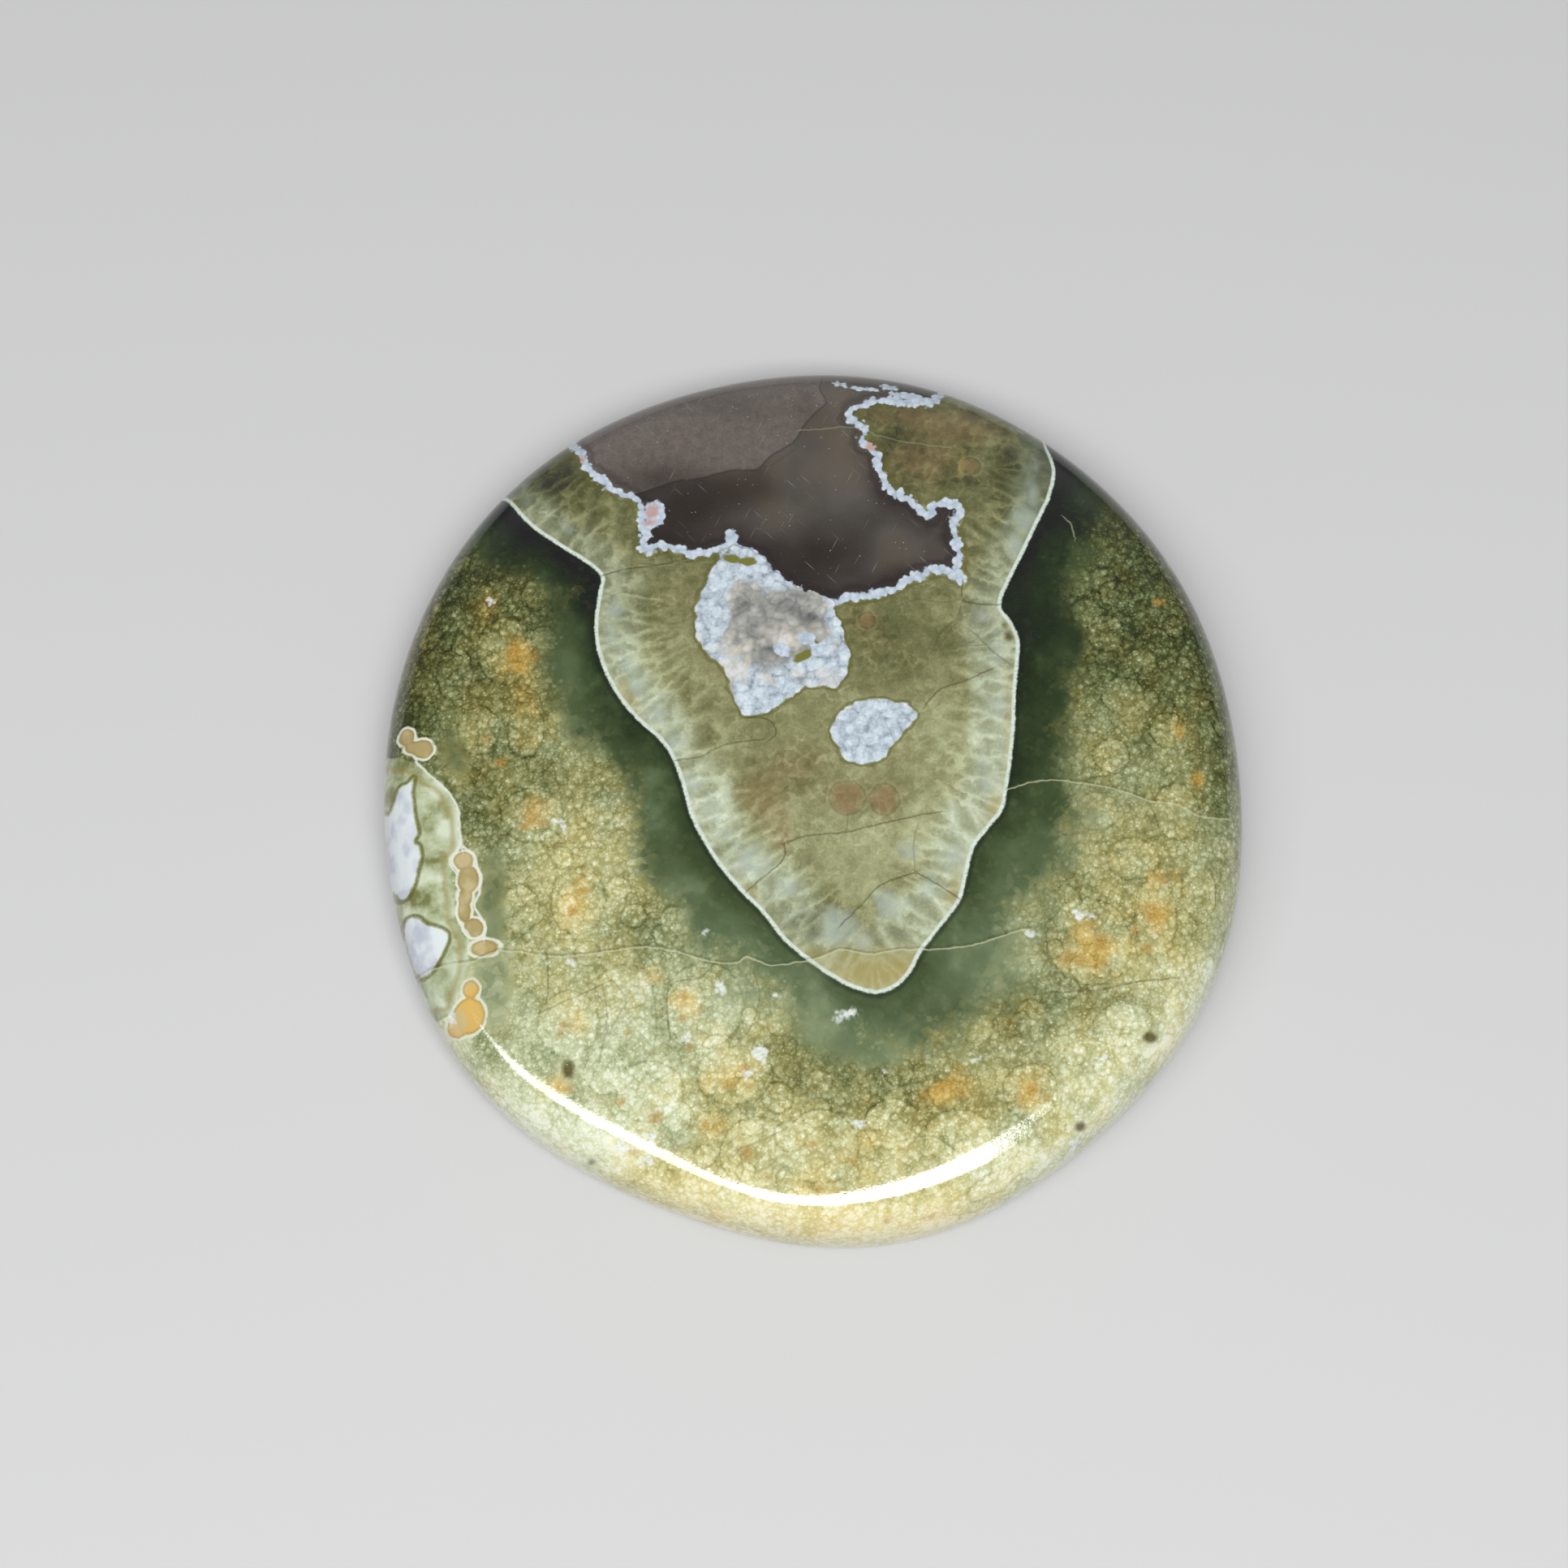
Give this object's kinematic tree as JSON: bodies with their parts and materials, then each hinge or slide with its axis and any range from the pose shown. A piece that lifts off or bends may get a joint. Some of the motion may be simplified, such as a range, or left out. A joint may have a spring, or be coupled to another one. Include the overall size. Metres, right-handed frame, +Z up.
{
  "type": "rainforest rhyolite cabochon",
  "caption": "Nearly round polished stone cabochon with a low crown, a rounded shoulder and a flat back to rest or be set on.",
  "frame": {"origin": "centre of the bounding box in X and Y, on the flat back", "axes": "+Z up through the stone from its flat back, the shortest way; +Y along the longer way of the outline, with the agate corner at +Y"},
  "size_m": [0.04, 0.0422, 0.0061],
  "materials": {
    "rhyolite": "high polish on the crown and shoulder, plainer polish on the flat back"
  },
  "bodies": {
    "root": {"cabochon": "rhyolite"}
  },
  "joints": []
}
